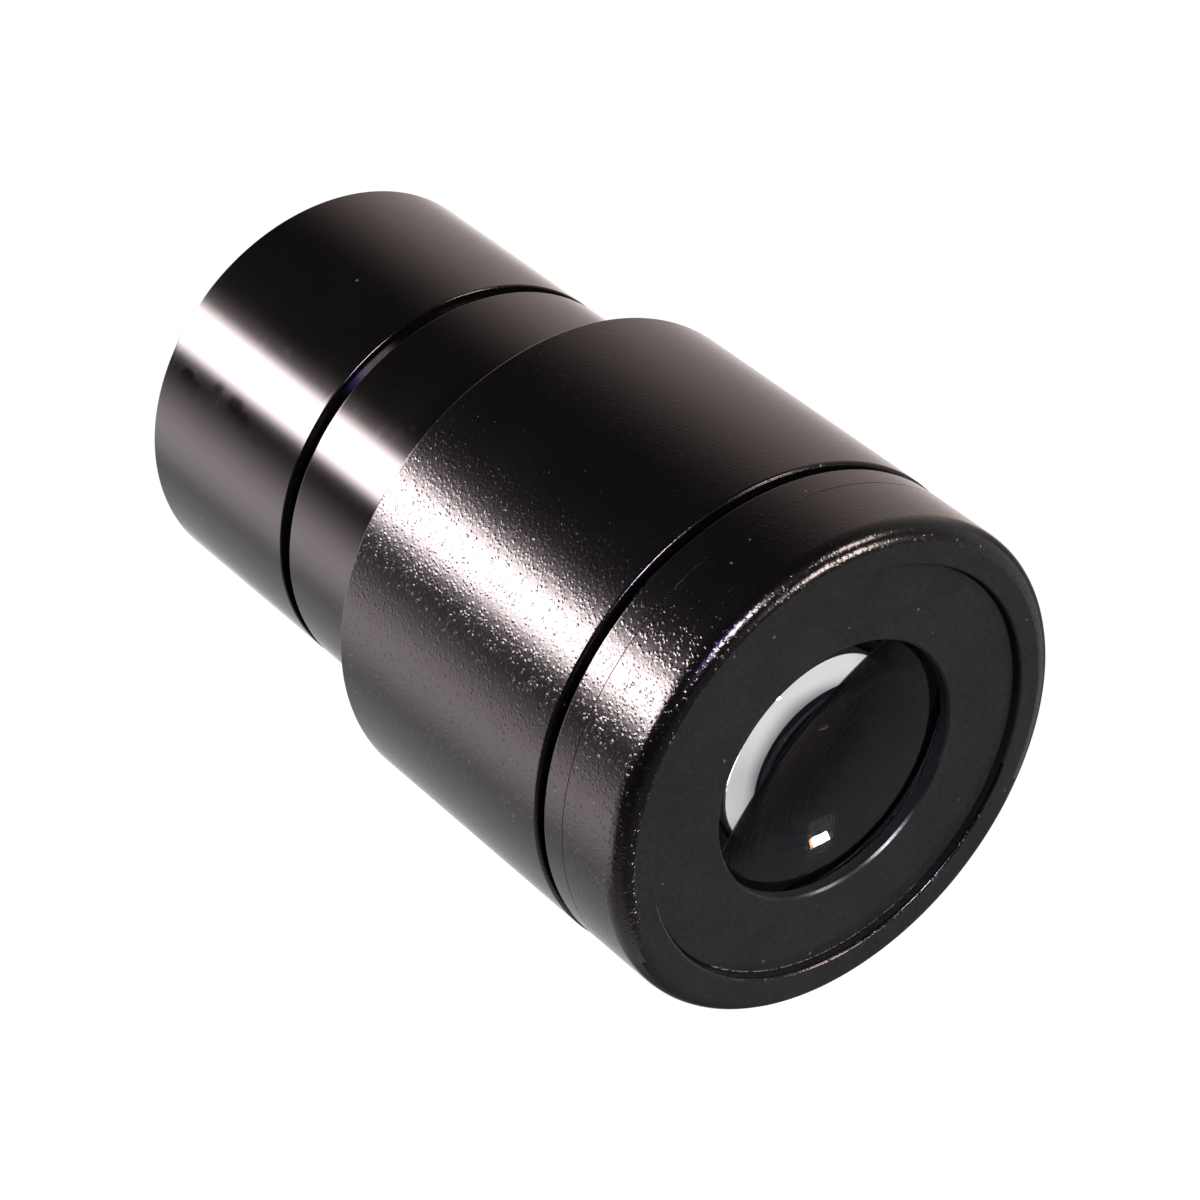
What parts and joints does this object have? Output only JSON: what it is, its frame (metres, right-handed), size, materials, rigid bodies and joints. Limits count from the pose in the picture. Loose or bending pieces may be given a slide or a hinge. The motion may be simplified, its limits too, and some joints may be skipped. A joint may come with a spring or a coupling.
{
  "type": "microscope eyepiece",
  "caption": "Wide-field microscope eyepiece: smooth push-in barrel, pebbled grip, screwed eye cap and domed eye lens in a flat sunk ring.",
  "frame": {"origin": "centre of the barrel's open end, which the eyepiece stands on", "axes": "+Z along the optical axis, from the barrel's open end towards the observer's eye"},
  "size_m": [0.036, 0.036, 0.058],
  "materials": {
    "smooth_black": "smooth black anodised, semi-gloss",
    "pebbled_black": "fine pebbled black coat, semi-gloss",
    "matt_black": "matt black",
    "coated_glass": "polished, coated"
  },
  "bodies": {
    "root": {"barrel": "smooth_black", "housing": "smooth_black", "head_sleeve": "pebbled_black", "eye_cap": "pebbled_black", "face_plate": "matt_black", "upper_spacer": "matt_black", "lower_spacer": "matt_black", "field_stop": "matt_black", "stop_ring": "matt_black", "eye_lens": "coated_glass", "crown_lens": "coated_glass", "flint_lens": "coated_glass", "field_lens": "coated_glass"}
  },
  "joints": []
}
